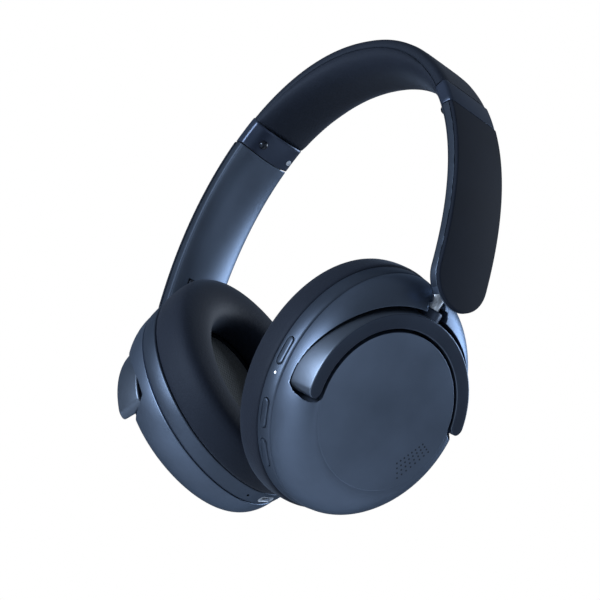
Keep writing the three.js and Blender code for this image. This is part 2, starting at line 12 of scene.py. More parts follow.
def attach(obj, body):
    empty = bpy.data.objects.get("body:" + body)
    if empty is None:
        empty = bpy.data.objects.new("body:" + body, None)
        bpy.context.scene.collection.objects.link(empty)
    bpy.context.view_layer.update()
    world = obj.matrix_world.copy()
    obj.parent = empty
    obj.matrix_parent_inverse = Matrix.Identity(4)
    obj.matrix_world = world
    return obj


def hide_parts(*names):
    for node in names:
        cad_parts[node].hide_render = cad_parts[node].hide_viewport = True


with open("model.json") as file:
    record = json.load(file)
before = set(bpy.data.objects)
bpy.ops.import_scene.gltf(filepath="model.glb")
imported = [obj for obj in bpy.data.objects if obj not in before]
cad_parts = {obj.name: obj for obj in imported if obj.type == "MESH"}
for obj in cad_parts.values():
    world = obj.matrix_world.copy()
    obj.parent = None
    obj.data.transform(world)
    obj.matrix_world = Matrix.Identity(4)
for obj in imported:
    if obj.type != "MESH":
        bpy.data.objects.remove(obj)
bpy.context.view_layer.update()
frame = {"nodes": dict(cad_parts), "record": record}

MM = 0.001
RIGHT, LEFT = 1, -1
LABEL = {RIGHT: "right", LEFT: "left"}

# ------------------------------------------------------------ sizes shared with the CAD
# The arch is the outer face of arms and headband; its angles are in degrees.
HALF_WIDTH, RISE, SHOULDER, POWER, BAND = 80.1, 109.6, 92.37, 2.1, 13.4
SLIT, BRACKET_TOP = 40.0, 48.0
ARM_END = 91.27
HINGE_DROP, HINGE_DEPTH, HINGE_RADIUS, HINGE_GAP = 9.0, 5.2, 10.39, 0.17
SLOT_WALL, SLOT_HALF, SLOT_TOP = 78.0, 8.3, 104.7
RELIEF_X, RELIEF_TOP, RELIEF_HALF = 76.1, 88.4, 20.0

# In a cup, h is outward, v forward and u up along the swivel.
CUP_X, CUP_Z = 52.97, 45.99
LEAN, LEFT_TILT = math.radians(22.44), math.radians(10.43)
TILT_H, TILT_U = 0.5, 2.0
SWIVEL_H = -0.3
DISC_RADIUS, DISC_CENTRE, DISC_TOP, DISC_FALL = 31.0, -6.0, 9.15, 1.85
DISC_EDGE = 31.2
RIM_UP, RIM_ACROSS, RIM_CENTRE, RIM_H, DOME_RISE = 48.85, 40.0, -3.35, -9.1, 16.3
SEAM_UP, SEAM_ACROSS, SEAM_CENTRE = 49.1, 40.5, -3.3
CUSHION_UP, CUSHION_ACROSS, HOLE_UP, HOLE_ACROSS = 50.4, 41.2, 30.0, 21.0
YOKE_INNER, YOKE_OUTER, YOKE_TOP, YOKE_BOTTOM = 32.2, 37.8, 7.5, -5.0
YOKE_REAR, YOKE_FRONT = -107.0, 80.5
CHANNEL_INNER, CHANNEL_OUTER, CHANNEL_TOP_ROOM, CHANNEL_FLOOR = 30.9, 39.4, 1.1, -5.7
CHANNEL_REAR, CHANNEL_FRONT = -110.0, 84.4
NOTCH_FLOOR, NOTCH_HALF, NOTCH_START = -12.2, 3.5, 34.0
BOSS_HALF, BOSS_START, BOSS_END = 5.3, 30.0, 38.2


# ------------------------------------------------------------ frames
def cup_frame(side, tilted=True):
    """Origin and axes (outward, forward, up) of a cup, or of its yoke if not tilted."""
    def axes(lean):
        out = np.array([side * math.cos(lean), 0, -math.sin(lean)])
        up = np.array([side * math.sin(lean), 0, math.cos(lean)])
        return out, up
    origin = np.array([side * CUP_X, 0, CUP_Z])
    out, up = axes(LEAN)
    if side == LEFT and tilted:
        pivot = origin + TILT_H * out + TILT_U * up
        out, up = axes(LEAN + LEFT_TILT)
        origin = pivot - TILT_H * out - TILT_U * up
    return origin, out, up


def cup_points(side, points, tilted=True):
    """Cup points (outward, forward, up) in millimetres, as world points in metres."""
    origin, out, up = cup_frame(side, tilted)
    p = np.asarray(points, float).reshape(-1, 3)
    forward = np.array([0, 1.0, 0])
    world = origin + p[:, :1] * out + p[:, 1:2] * forward + p[:, 2:] * up
    return world * MM


def arch_point(angle):
    if angle < 0:
        return np.array([HALF_WIDTH, 0, SHOULDER + angle])
    c = math.cos(math.radians(angle))
    s = max(0.0, math.sin(math.radians(angle)))
    x = HALF_WIDTH * math.copysign(abs(c) ** (2 / POWER), c)
    return np.array([x, 0, SHOULDER + RISE * s ** (2 / POWER)])


def arch_frame(angle):
    along = arch_point(angle + 0.05) - arch_point(angle - 0.05)
    along /= np.linalg.norm(along)
    return arch_point(angle), along, np.array([along[2], 0, -along[0]])


def on_arch(angle, depth, y, shift=0.0):
    origin, along, out = arch_frame(angle)
    return origin - depth * out + shift * along + np.array([0, y, 0])


# ------------------------------------------------------------ mesh helpers
def make(name, verts, faces, mat, sharp=35):
    mesh = bpy.data.meshes.new(name)
    mesh.from_pydata([tuple(v) for v in verts], [], [tuple(f) for f in faces])
    piece = bpy.data.objects.new(name, mesh)
    bpy.context.scene.collection.objects.link(piece)
    bm = bmesh.new()
    bm.from_mesh(mesh)
    bmesh.ops.remove_doubles(bm, verts=bm.verts, dist=2e-6)
    bmesh.ops.dissolve_degenerate(bm, edges=bm.edges, dist=1e-6)
    bmesh.ops.recalc_face_normals(bm, faces=bm.faces)
    bm.to_mesh(mesh)
    bm.free()
    mesh.materials.append(mat)
    shade(piece, sharp)
    return piece


def shade(piece, sharp=35):
    piece.data.polygons.foreach_set("use_smooth", [True] * len(piece.data.polygons))
    piece.data.set_sharp_from_angle(angle=math.radians(sharp))


def loft(rings, closed=False, caps=True):
    """Vertices and faces of a skin through rings of points."""
    rings = [np.asarray(r, float) for r in rings]
    count = len(rings[0])
    verts = np.vstack(rings)
    faces = []
    spans = len(rings) if closed else len(rings) - 1
    for r in range(spans):
        a, b = r * count, (r + 1) % len(rings) * count
        for i in range(count):
            j = (i + 1) % count
            faces.append((a + i, a + j, b + j, b + i))
    if caps and not closed:
        last = (len(rings) - 1) * count
        faces.append(tuple(range(count - 1, -1, -1)))
        faces.append(tuple(range(last, last + count)))
    return verts, faces


def rounded(corners, radii, steps=5):
    """A closed flat outline with each corner rounded."""
    points = []
    count = len(corners)
    for i in range(count):
        here = np.array(corners[i], float)
        before = np.array(corners[i - 1], float) - here
        after = np.array(corners[(i + 1) % count], float) - here
        radius = radii[i] if isinstance(radii, (list, tuple)) else radii
        la, lb = np.linalg.norm(before), np.linalg.norm(after)
        before, after = before / la, after / lb
        half = math.acos(max(-1, min(1, float(before @ after)))) / 2
        if radius <= 0 or half > 1.55:
            points.append(here)
            continue
        reach = min(radius / math.tan(half), 0.49 * la, 0.49 * lb)
        radius = reach * math.tan(half)
        middle = here + (before + after) / np.linalg.norm(before + after) * radius / math.sin(half)
        start, end = here + before * reach - middle, here + after * reach - middle
        turn = math.atan2(start[0] * end[1] - start[1] * end[0], float(start @ end))
        for k in range(steps + 1):
            a = turn * k / steps
            points.append(middle + np.array([
                start[0] * math.cos(a) - start[1] * math.sin(a),
                start[0] * math.sin(a) + start[1] * math.cos(a)]))
    return np.array(points)


def apply_modifiers(piece):
    graph = bpy.context.evaluated_depsgraph_get()
    mesh = bpy.data.meshes.new_from_object(piece.evaluated_get(graph))
    piece.modifiers.clear()
    old = piece.data
    piece.data = mesh
    bpy.data.meshes.remove(old)
    return piece


def carve(piece, cutters, sharp):
    """Cuts the cutters out of piece and removes them."""
    for cutter in cutters:
        m = piece.modifiers.new("cut", "BOOLEAN")
        m.operation, m.solver, m.object = "DIFFERENCE", "EXACT", cutter
    apply_modifiers(piece)
    for cutter in cutters:
        bpy.data.objects.remove(cutter)
    shade(piece, sharp)
    return piece


def oval(h, up, across, centre=SEAM_CENTRE, count=160):
    a = np.linspace(0, 2 * math.pi, count, endpoint=False)
    return np.column_stack([np.full(count, h), across * np.sin(a), centre + up * np.cos(a)])


def place(piece, body, slot, *nodes):
    """Puts a piece on its body in place of the CAD nodes it stands for; the slot argument is not
    used.
    """
    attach(piece, body)
    if nodes:
        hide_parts(*nodes)


# ------------------------------------------------------------ materials
def material(name, base, roughness, metallic=0.0, grain=900.0, bump=0.02, mottle=0.12,
             coat=0.0, sheen=0.0, specular=0.5):
    """A moulded or painted finish: fine grain in the bump, slight drift in tone and gloss."""
    gloss_drift = 0.04
    m = bpy.data.materials.new(name)
    m.use_nodes = True
    nodes, links = m.node_tree.nodes, m.node_tree.links
    shader = nodes["Principled BSDF"]
    shader.inputs["Metallic"].default_value = metallic
    shader.inputs["Coat Weight"].default_value = coat
    shader.inputs["Coat Roughness"].default_value = 0.25
    shader.inputs["Sheen Weight"].default_value = sheen
    shader.inputs["Sheen Roughness"].default_value = 0.4
    shader.inputs["Sheen Tint"].default_value = (0.5, 0.68, 1, 1)
    shader.inputs["Specular IOR Level"].default_value = specular
    shader.inputs["Specular Tint"].default_value = (0.6, 0.75, 1, 1)
    coord = nodes.new("ShaderNodeTexCoord")
    broad = nodes.new("ShaderNodeTexNoise")
    broad.inputs["Scale"].default_value = 38.0
    broad.inputs["Detail"].default_value = 4.0
    links.new(coord.outputs["Object"], broad.inputs["Vector"])
    tone = nodes.new("ShaderNodeValToRGB")
    tone.color_ramp.elements[0].position = 0.3
    tone.color_ramp.elements[1].position = 0.7
    tone.color_ramp.elements[0].color = [c * (1 - mottle) for c in base] + [1]
    tone.color_ramp.elements[1].color = [min(1, c * (1 + mottle)) for c in base] + [1]
    links.new(broad.outputs["Fac"], tone.inputs["Fac"])
    links.new(tone.outputs["Color"], shader.inputs["Base Color"])
    gloss = nodes.new("ShaderNodeMapRange")
    gloss.inputs["To Min"].default_value = roughness - gloss_drift
    gloss.inputs["To Max"].default_value = roughness + gloss_drift
    links.new(broad.outputs["Fac"], gloss.inputs["Value"])
    links.new(gloss.outputs["Result"], shader.inputs["Roughness"])
    fine = nodes.new("ShaderNodeTexNoise")
    fine.inputs["Scale"].default_value = grain
    fine.inputs["Detail"].default_value = 3.0
    links.new(coord.outputs["Object"], fine.inputs["Vector"])
    relief = nodes.new("ShaderNodeBump")
    relief.inputs["Strength"].default_value = bump
    relief.inputs["Distance"].default_value = 0.0004
    links.new(fine.outputs["Fac"], relief.inputs["Height"])
    links.new(relief.outputs["Normal"], shader.inputs["Normal"])
    return m


def leather(name, base, roughness, cell=620.0, bump=0.12, sheen=0.25, specular=0.35):
    """Synthetic leather: pebbled cells broken by noise, sunk along the creases."""
    m = material(name, base, roughness, grain=1400.0, bump=0.05, mottle=0.1, sheen=sheen,
                 specular=specular)
    nodes, links = m.node_tree.nodes, m.node_tree.links
    shader = nodes["Principled BSDF"]
    coord = next(n for n in nodes if n.type == "TEX_COORD")
    fine_bump = next(n for n in nodes if n.type == "BUMP")
    cells = nodes.new("ShaderNodeTexVoronoi")
    cells.feature = "DISTANCE_TO_EDGE"
    cells.inputs["Scale"].default_value = cell
    warp = nodes.new("ShaderNodeTexNoise")
    warp.inputs["Scale"].default_value = 260.0
    mix = nodes.new("ShaderNodeVectorMath")
    mix.operation = "MULTIPLY_ADD"
    mix.inputs[1].default_value = (0.004, 0.004, 0.004)
    links.new(coord.outputs["Object"], warp.inputs["Vector"])
    links.new(warp.outputs["Color"], mix.inputs[0])
    links.new(coord.outputs["Object"], mix.inputs[2])
    links.new(mix.outputs["Vector"], cells.inputs["Vector"])
    crease = nodes.new("ShaderNodeMapRange")
    crease.inputs["From Max"].default_value = 0.25
    links.new(cells.outputs["Distance"], crease.inputs["Value"])
    relief = nodes.new("ShaderNodeBump")
    relief.inputs["Strength"].default_value = bump
    relief.inputs["Distance"].default_value = 0.0003
    links.new(crease.outputs["Result"], relief.inputs["Height"])
    links.new(fine_bump.outputs["Normal"], relief.inputs["Normal"])
    links.new(relief.outputs["Normal"], shader.inputs["Normal"])
    return m


def woven(name, base, scale=1500.0):
    """Fine cloth: two crossed thread waves."""
    m = material(name, base, 0.9, grain=2000.0, bump=0.1, mottle=0.2, sheen=0.3)
    nodes, links = m.node_tree.nodes, m.node_tree.links
    shader = nodes["Principled BSDF"]
    coord = next(n for n in nodes if n.type == "TEX_COORD")
    waves = []
    for direction in ("Y", "Z"):
        wave = nodes.new("ShaderNodeTexWave")
        wave.bands_direction = direction
        wave.inputs["Scale"].default_value = scale / 6
        wave.inputs["Distortion"].default_value = 0.4
        links.new(coord.outputs["Object"], wave.inputs["Vector"])
        waves.append(wave)
    cross = nodes.new("ShaderNodeMath")
    cross.operation = "MULTIPLY"
    links.new(waves[0].outputs["Fac"], cross.inputs[0])
    links.new(waves[1].outputs["Fac"], cross.inputs[1])
    relief = nodes.new("ShaderNodeBump")
    relief.inputs["Strength"].default_value = 0.4
    relief.inputs["Distance"].default_value = 0.0003
    links.new(cross.outputs["Value"], relief.inputs["Height"])
    links.new(relief.outputs["Normal"], shader.inputs["Normal"])
    return m


def glowing(name, colour, strength):
    m = material(name, colour, 0.3, mottle=0.02)
    shader = m.node_tree.nodes["Principled BSDF"]
    shader.inputs["Emission Color"].default_value = list(colour) + [1]
    shader.inputs["Emission Strength"].default_value = strength
    return m


SATIN = material("satin_navy", (0.105, 0.142, 0.215), 0.4, 0.8, grain=1500, bump=0.03)
SIDE = material("satin_navy_band", (0.066, 0.089, 0.135), 0.42, 0.8, grain=1500, bump=0.03)
MATTE = material("matte_navy", (0.014, 0.019, 0.032), 0.7, grain=1800, bump=0.05, specular=0.1)
SHELL = material("arm_navy", (0.1, 0.134, 0.2), 0.42, 0.85, grain=1500, bump=0.03)
# Painted shade: a darker copy of the arm's finish, put on the arm's two side walls for the shade
# they fall in.
ARM_WALL_SHADE = material("arm_wall_painted_shade", (0.032, 0.043, 0.066), 0.5, 0.7, grain=1500, bump=0.03)
YOKE_FACE = material("yoke_navy", (0.028, 0.039, 0.066), 0.42, 0.5, grain=1600, bump=0.04)
YOKE_WALL = material("yoke_side_navy", (0.12, 0.155, 0.22), 0.36, 0.85, grain=1600, bump=0.02)
GLOSS = material("gloss_navy", (0.035, 0.05, 0.09), 0.3, 0.5, grain=900, bump=0.01, coat=0.1)
BEAD = material("black_bead", (0.01, 0.012, 0.018), 0.2, grain=900, bump=0.01)
STEEL = material("bright_steel", (0.62, 0.7, 0.82), 0.38, 0.6, grain=700, bump=0.02)
DARK = material("dark_plastic", (0.008, 0.01, 0.016), 0.55, grain=1500, bump=0.06)
PAD = leather("pad_leather", (0.0135, 0.018, 0.031), 0.6, sheen=0.1, specular=0.2)
COVER = leather("cover_leather", (0.007, 0.0105, 0.021), 0.65, cell=700, sheen=0.05)
CLOTH = woven("ear_cloth", (0.12, 0.13, 0.135))
LENS = glowing("lens_white", (0.9, 0.95, 1.0), 3.0)
BOARD = material("board_green", (0.02, 0.12, 0.06), 0.45, grain=300, bump=0.05)
FOIL = material("battery_foil", (0.5, 0.52, 0.55), 0.3, 0.9, grain=120, bump=0.2)


# ------------------------------------------------------------ housings
def dome_reach(width, theta):
    """Distance from the disc's centre to the dome's oval of that width, along theta."""
    off = (RIM_CENTRE - DISC_CENTRE) * width
    up = DISC_RADIUS + (RIM_UP - DISC_RADIUS) * width
    across = DISC_RADIUS + (RIM_ACROSS - DISC_RADIUS) * width
    c, s = math.cos(theta), math.sin(theta)
    a = c * c / up ** 2 + s * s / across ** 2
    b = off * c / up ** 2
    return (b + math.sqrt(b * b - a * (off * off / up ** 2 - 1))) / a


WIDTHS = np.sqrt(1 - np.linspace(1, 0, 240) ** 2)


def dome_height(reach, theta):
    """Height of the dome, with the slightly crowned disc standing on its middle."""
    crease = 0.3
    table = [dome_reach(w, theta) for w in WIDTHS]
    width = np.interp(reach, table, WIDTHS)
    dome = RIM_H + DOME_RISE * np.sqrt(np.maximum(0, 1 - width ** 2))
    disc = DISC_TOP - DISC_FALL * (np.minimum(reach, DISC_EDGE) / DISC_EDGE) ** 2
    t = np.clip((DISC_EDGE + 0.05 - reach) / crease, 0, 1)
    blend = t * t * (3 - 2 * t)
    return dome + (np.maximum(disc, dome) - dome) * blend


def ditch(height, outside, floor, lip, steepness=40):
    """Sinks a steep-sided channel where outside is negative, with a rounded lip."""
    inner = np.clip(outside, 0, lip)
    fallen = height - (lip - np.sqrt(np.maximum(0, lip ** 2 - (lip - inner) ** 2)))
    wall = height - lip + steepness * np.minimum(outside, 0)
    return np.where(outside >= 0, fallen, np.maximum(floor, wall))


def channel_reach(theta):
    """Outer wall of the yoke's channel, with room to tilt at the top."""
    return CHANNEL_OUTER + max(0.0, CHANNEL_TOP_ROOM * math.cos(theta))


def housing_height(reach, theta):
    """Height of the housing: dome and disc, the yoke's channel and the stem's notch."""
    u = DISC_CENTRE + reach * math.cos(theta)
    v = reach * math.sin(theta)
    height = dome_height(reach, theta)
    angle = math.degrees(theta)
    outer = channel_reach(theta)
    mid, half = (outer + CHANNEL_INNER) / 2, (outer - CHANNEL_INNER) / 2
    turn = math.degrees(half / mid)
    beyond = max(CHANNEL_REAR + turn - angle, angle - (CHANNEL_FRONT - turn), 0)
    arc = math.radians(beyond) * mid
    radial = np.abs(reach - mid)
    outside = np.where(beyond > 0, np.hypot(radial, arc), radial) - half
    from_axis = DISC_CENTRE + 37 * math.cos(theta) - TILT_U
    floor = CHANNEL_FLOOR - (0.18 if from_axis > 0 else 0.13) * abs(from_axis)
    height = ditch(height, outside, floor, 0.2)
    notch = np.maximum(np.abs(v) - NOTCH_HALF, NOTCH_START - u)
    boss = np.maximum(np.maximum(np.abs(v) - BOSS_HALF, u - BOSS_END), BOSS_START - u)
    upper = u > 20
    height = np.where(upper, ditch(height, notch, NOTCH_FLOOR, 0.3), height)
    sunk = np.minimum(height, ditch(height, boss, NOTCH_FLOOR, 0.3))
    return np.where(upper, sunk, height)


def housing_reaches(theta):
    """Radial stations along one direction, crowded at the channel's walls and the rim."""
    rim = dome_reach(1.0, theta)
    lip = min(channel_reach(theta) - 0.45, rim - 0.9)
    past = min(channel_reach(theta) + 0.6, rim - 0.3)
    inner = [0.5, 4, 8, 12, 16, 20, 23, 25.5, 27.5, 28.6, 29.3, 29.8, 30.1, 30.3]
    edge = [30.42, 30.52, 30.62, 30.72, 30.8, 30.86, 30.9, 30.96, 31.05, 31.15, 31.25]
    floor = list(np.linspace(31.45, lip, 26))
    wall = list(lip + (past - lip) * np.array([0.12, 0.24, 0.33, 0.4, 0.43, 0.46, 0.52, 0.6,
                                               0.7, 0.82, 1.0]))
    out = list(past + (rim - past) * np.sin(np.linspace(0.12, 1, 18) * math.pi / 2))
    return np.array(inner + edge + floor + wall + out)


# Round the notch and the channel's two ends: from, to and step in degrees.
FINE_ZONES = [(-12, 12, 0.25), (-118, -104, 0.35), (76, 88, 0.35)]


def housing_angles():
    """Directions round the disc, a degree apart and closer in the fine zones."""
    fine = [a for low, high, step in FINE_ZONES for a in np.arange(low, high + 0.01, step)]
    coarse = [a for a in np.arange(-180, 180, 1.0)
              if not any(low - 0.5 < a < high + 0.5 for low, high, _ in FINE_ZONES)]
    return [math.radians(a) for a in sorted(set(np.round(fine + coarse, 3)))]


def housing(side):
    """Dome, disc and channel as one skin of radial strips, turned in under the rim."""
    rings = []
    for theta in housing_angles():
        reach = housing_reaches(theta)
        height = housing_height(reach, theta)
        c, s = math.cos(theta), math.sin(theta)
        ring = [(h, r * s, DISC_CENTRE + r * c) for r, h in zip(reach, height)]
        rim, low = reach[-1], min(RIM_H, height[-1])
        ring.append((low - 0.12, (rim - 0.12) * s, DISC_CENTRE + (rim - 0.12) * c))
        ring.append((low - 0.2, (rim - 1.6) * s, DISC_CENTRE + (rim - 1.6) * c))
        rings.append(cup_points(side, ring))
    count = len(rings[0])
    verts = np.vstack(rings + [cup_points(side, [(DISC_TOP, 0, DISC_CENTRE)])])
    faces = []
    for r in range(len(rings)):
        a, b = r * count, (r + 1) % len(rings) * count
        faces.append((len(verts) - 1, a, b))
        faces += [(a + i, a + i + 1, b + i + 1, b + i) for i in range(count - 1)]
    label = LABEL[side]
    piece = make(f"{label}_housing_skin", verts, faces, SATIN, sharp=60)
    place(piece, f"{label}_cup", "satin_navy", f"{label}_housing")


# ------------------------------------------------------------ side bands, buttons and ports
def wall_frame(side, degrees, h=-13.2):
    """A point on the side band and the directions out of it, round it and through the cup."""
    a = math.radians(degrees)
    facing = math.atan2(math.sin(a) / SEAM_ACROSS, math.cos(a) / SEAM_UP)
    _, out, up = cup_frame(side)
    v, u = (SEAM_ACROSS + 0.1) * math.sin(a), SEAM_CENTRE + (SEAM_UP + 0.1) * math.cos(a)
    spot = cup_points(side, [(h, v, u)])[0]
    away = math.cos(facing) * up + math.sin(facing) * np.array([0, 1.0, 0])
    around = math.cos(facing) * np.array([0, 1.0, 0]) - math.sin(facing) * up
    return spot, away, around, out


def wall_loft(name, side, degrees, outline, levels, mat, h=-13.2):
    """Outline points (round the band, through the cup) stacked at levels (height, shrink)."""
    spot, away, around, out = wall_frame(side, degrees, h)
    rings = []
    for level, shrink in levels:
        scaled = inset(outline, shrink)
        rings.append([spot + MM * (x * around + y * out + level * away) for x, y in scaled])
    verts, faces = loft(rings)
    return make(name, verts, faces, mat)


def inset(outline, amount):
    """Pulls a pill or round outline in by an amount, in millimetres."""
    outline = np.asarray(outline, float)
    half = np.abs(outline).max(0)
    straight = max(0.0, half[0] - half[1])
    cores = np.column_stack([np.clip(outline[:, 0], -straight, straight),
                             np.zeros(len(outline))])
    arms = outline - cores
    lengths = np.linalg.norm(arms, axis=1, keepdims=True)
    return cores + arms * (lengths - amount) / np.maximum(lengths, 1e-9)


def pill(length, width, steps=14):
    half = (length - width) / 2
    right = np.linspace(-math.pi / 2, math.pi / 2, steps)
    left = right + math.pi
    return np.array([(half + width / 2 * math.cos(a), width / 2 * math.sin(a)) for a in right]
                    + [(-half + width / 2 * math.cos(a), width / 2 * math.sin(a)) for a in left])


def round_outline(radius, count=32):
    a = np.linspace(0, 2 * math.pi, count, endpoint=False)
    return np.column_stack([radius * np.cos(a), radius * np.sin(a)])


BUTTONS = {"power": -92.4, "volume_up": -121.9, "volume_down": -142.0}


def side_band(side):
    """The metal band between dome and cushion, with a bright chamfer under the dome."""
    outer = [(-9.35, 47.3, 38.6), (-9.35, 48.3, 39.55), (-9.45, 48.5, 39.75),
             (-10.15, 49.0, 40.25), (-10.5, 49.1, 40.4), (-13, 49.3, 40.75),
             (-16.4, 49.4, 41), (-16.9, 49.3, 40.9), (-17.1, 49.0, 40.6)]
    inner = [(-17.1, 47.2, 38.6), (-13, 46.9, 38.3)]
    rings = [cup_points(side, oval(h, up, across, count=240)) for h, up, across in outer + inner]
    verts, faces = loft(rings, closed=True)
    label = LABEL[side]
    band = make(f"{label}_side_band", verts, faces, SIDE, sharp=50)
    cutters = [notch_block(side)]
    if side == RIGHT:
        for degrees in BUTTONS.values():
            cutters.append(wall_loft("cutter", side, degrees, pill(12.0, 4.0),
                                     [(-4, 0), (3, 0)], DARK))
        cutters.append(wall_loft("cutter", side, -103, round_outline(0.6),
                                 [(-4, 0), (3, 0)], DARK))
    else:
        cutters.append(wall_loft("cutter", side, 158, pill(9.6, 3.8), [(-4, 0), (3, 0)], DARK))
        cutters.append(wall_loft("cutter", side, 140, round_outline(2.3),
                                 [(-4, 0), (3, 0)], DARK, h=-12.8))
        cutters.append(wall_loft("cutter", side, 174, round_outline(0.6),
                                 [(-1.6, 0), (3, 0)], DARK))
    carve(band, cutters, 50)
    place(band, f"{label}_cup", "satin_navy", f"{label}_mid_frame")


def notch_block(side):
    """Cuts the band open where the swivel stem passes."""
    corners = [(h, v, u) for h in (-14.1, 2) for v, u in
               ((-5.4, 38), (5.4, 38), (5.4, 60), (-5.4, 60))]
    world = cup_points(side, corners)
    verts, faces = loft([world[:4], world[4:]])
    return make("cutter", verts, faces, DARK)


def buttons():
    """Three caps on the right band, each over a dark sheet that is painted shade for the gap round
    the cap, and the status light.
    """
    for name, degrees in BUTTONS.items():
        crown = [(-2.2, 0.0), (0.05, 0.0), (0.3, 0.12), (0.45, 0.4), (0.5, 0.9)]
        cap = wall_loft(f"{name}_button_cap", RIGHT, degrees, pill(11.4, 3.4), crown, SIDE)
        place(cap, f"{name}_button", "satin_navy", f"right_{name}_button")
        # Painted shade: a dark sheet behind each cap keeps the gap round the cap dark.
        gap_shade = wall_loft(f"{name}_button_gap_shade", RIGHT, degrees, pill(12.6, 4.6),
                        [(-3.5, 0.0), (-2.95, 0.0)], DARK)
        place(gap_shade, "right_cup", "dark_plastic")
    lens = wall_loft("status_light", RIGHT, -103, round_outline(0.5),
                     [(-2.0, 0), (-0.05, 0), (0.02, 0.12), (0.05, 0.3)], LENS)
    place(lens, "right_cup", "lens_white", "right_status_lens")


def ports():
    """Charging and audio sockets at the bottom of the left band."""
    shell = pill(9.2, 3.4)
    spot = [(-5.6, 0), (-0.15, 0), (-0.05, 0.12), (-0.05, 0.35), (-0.4, 0.45), (-5.2, 0.5)]
    usb = wall_loft("left_charging_socket", LEFT, 158, shell, spot, STEEL)
    place(usb, "left_cup", "bright_steel", "left_usb_port")
    tongue = wall_loft("left_socket_tongue", LEFT, 158, pill(6.6, 0.8),
                       [(-5.4, 0), (-1.2, 0), (-1.0, 0.1)], DARK)
    place(tongue, "left_cup", "dark_plastic")
    jack = wall_loft("left_audio_socket", LEFT, 140, round_outline(2.0),
                     [(-5.6, 0), (-0.1, 0), (0.05, 0.2), (0.05, 0.55), (-0.3, 0.7), (-5, 0.75)],
                     STEEL, h=-12.8)
    place(jack, "left_cup", "bright_steel", "left_audio_jack")


# Forward and up of the first and last sound hole, in the inner and in the outer row.
HOLE_ROWS, HOLES_PER_ROW, HOLE_RADIUS = 4, 8, 0.4
INNER_ROW = np.array([[15.85, -20.78], [22.35, -9.46]])
OUTER_ROW = np.array([[19.92, -25.44], [26.88, -10.85]])


def sound_hole_centres():
    for row in range(HOLE_ROWS):
        first, last = INNER_ROW + (OUTER_ROW - INNER_ROW) * row / (HOLE_ROWS - 1)
        for column in range(HOLES_PER_ROW):
            yield first + (last - first) * column / (HOLES_PER_ROW - 1)


def sound_hole_shade(side):
    """A regular field of small sound holes along the disc's lower front edge, drawn as dark discs
    on the surface: painted shade for the inside of each hole.
    """
    verts, faces = [], []
    ring = round_outline(HOLE_RADIUS, 10)
    count = len(ring)
    for v, u in sound_hole_centres():
        reach = math.hypot(u - DISC_CENTRE, v)
        theta = math.atan2(v, u - DISC_CENTRE)
        top = float(housing_height(np.array([reach]), theta)[0])
        base = len(verts)
        for lift in (-0.3, 0.03):
            verts += [(top + lift, v + x, u + y) for x, y in ring]
        faces.append(tuple(range(base + count, base + 2 * count)))
        faces += [(base + i, base + (i + 1) % count, base + count + (i + 1) % count,
                   base + count + i) for i in range(count)]
    label = LABEL[side]
    piece = make(f"{label}_sound_hole_shade", cup_points(side, verts), faces, DARK)
    place(piece, f"{label}_cup", "dark_plastic")


# ------------------------------------------------------------ yokes and stems
def yoke(side):
    """Ring round the disc: flat face, drafted outer wall and round tips."""
    label = LABEL[side]
    draft, extra_at_top, tip_length = 1.4, 0.6, 3.3
    mid = (YOKE_INNER + YOKE_OUTER) / 2
    tip = math.degrees(tip_length / mid)
    bend = np.linspace(0.12, math.pi / 2, 12)
    angles = [YOKE_REAR + tip * (1 - math.cos(t)) for t in bend]
    angles += list(np.linspace(YOKE_REAR + tip, YOKE_FRONT - tip, 150)[1:-1])
    angles += [YOKE_FRONT - tip * (1 - math.sin(t)) for t in bend - 0.12]
    rings = []
    for angle in angles:
        a = math.radians(angle)
        outer = YOKE_OUTER + extra_at_top * math.cos(a)
        section = rounded([(YOKE_INNER, YOKE_BOTTOM), (YOKE_INNER, YOKE_TOP), (outer, YOKE_TOP),
                           (outer + draft, YOKE_BOTTOM)], [0.6, 0.7, 0.9, 0.8], 5)
        inside = min(1.0, (angle - YOKE_REAR) / tip, (YOKE_FRONT - angle) / tip)
        width = math.sqrt(max(0.0, 1 - (1 - inside) ** 2))
        rings.append(cup_points(side, [
            (h, (mid + (r - mid) * width) * math.sin(a),
             DISC_CENTRE + (mid + (r - mid) * width) * math.cos(a))
            for r, h in section], tilted=False))
    verts, faces = loft(rings)
    ring = make(f"{label}_yoke_ring", verts, faces, YOKE_WALL, sharp=40)
    second_finish(ring, cup_frame(side, tilted=False)[1], YOKE_FACE)
    place(ring, f"{label}_yoke_body", "matte_navy", f"{label}_yoke")
    boss = stem_lathe(f"{label}_yoke_boss", side, 0.6, [
        (3.1, 29.0), (4.6, 29.0), (4.6, 35.6), (4.4, 36.1), (4.0, 36.4), (3.2, 36.4)], YOKE_FACE)
    place(boss, f"{label}_yoke_body", "matte_navy")
    stem = stem_lathe(f"{label}_stem", side, SWIVEL_H, [
        (0.01, 28.8), (2.95, 28.8), (2.95, 55.0), (4.0, 55.2), (4.0, 56.8), (0.01, 57.0)], STEEL)
    place(stem, f"{label}_yoke_body", "bright_steel", f"{label}_swivel_stem")


def second_finish(piece, axis, mat, both_ways=False):
    """Gives the faces that look along axis a material of their own: a second finish on the yoke's
    face, painted shade on the arm's side walls.
    """
    piece.data.materials.append(mat)
    index = len(piece.data.materials) - 1
    for polygon in piece.data.polygons:
        facing = polygon.normal.dot(Vector(axis))
        if (abs(facing) if both_ways else facing) > 0.8:
            polygon.material_index = index


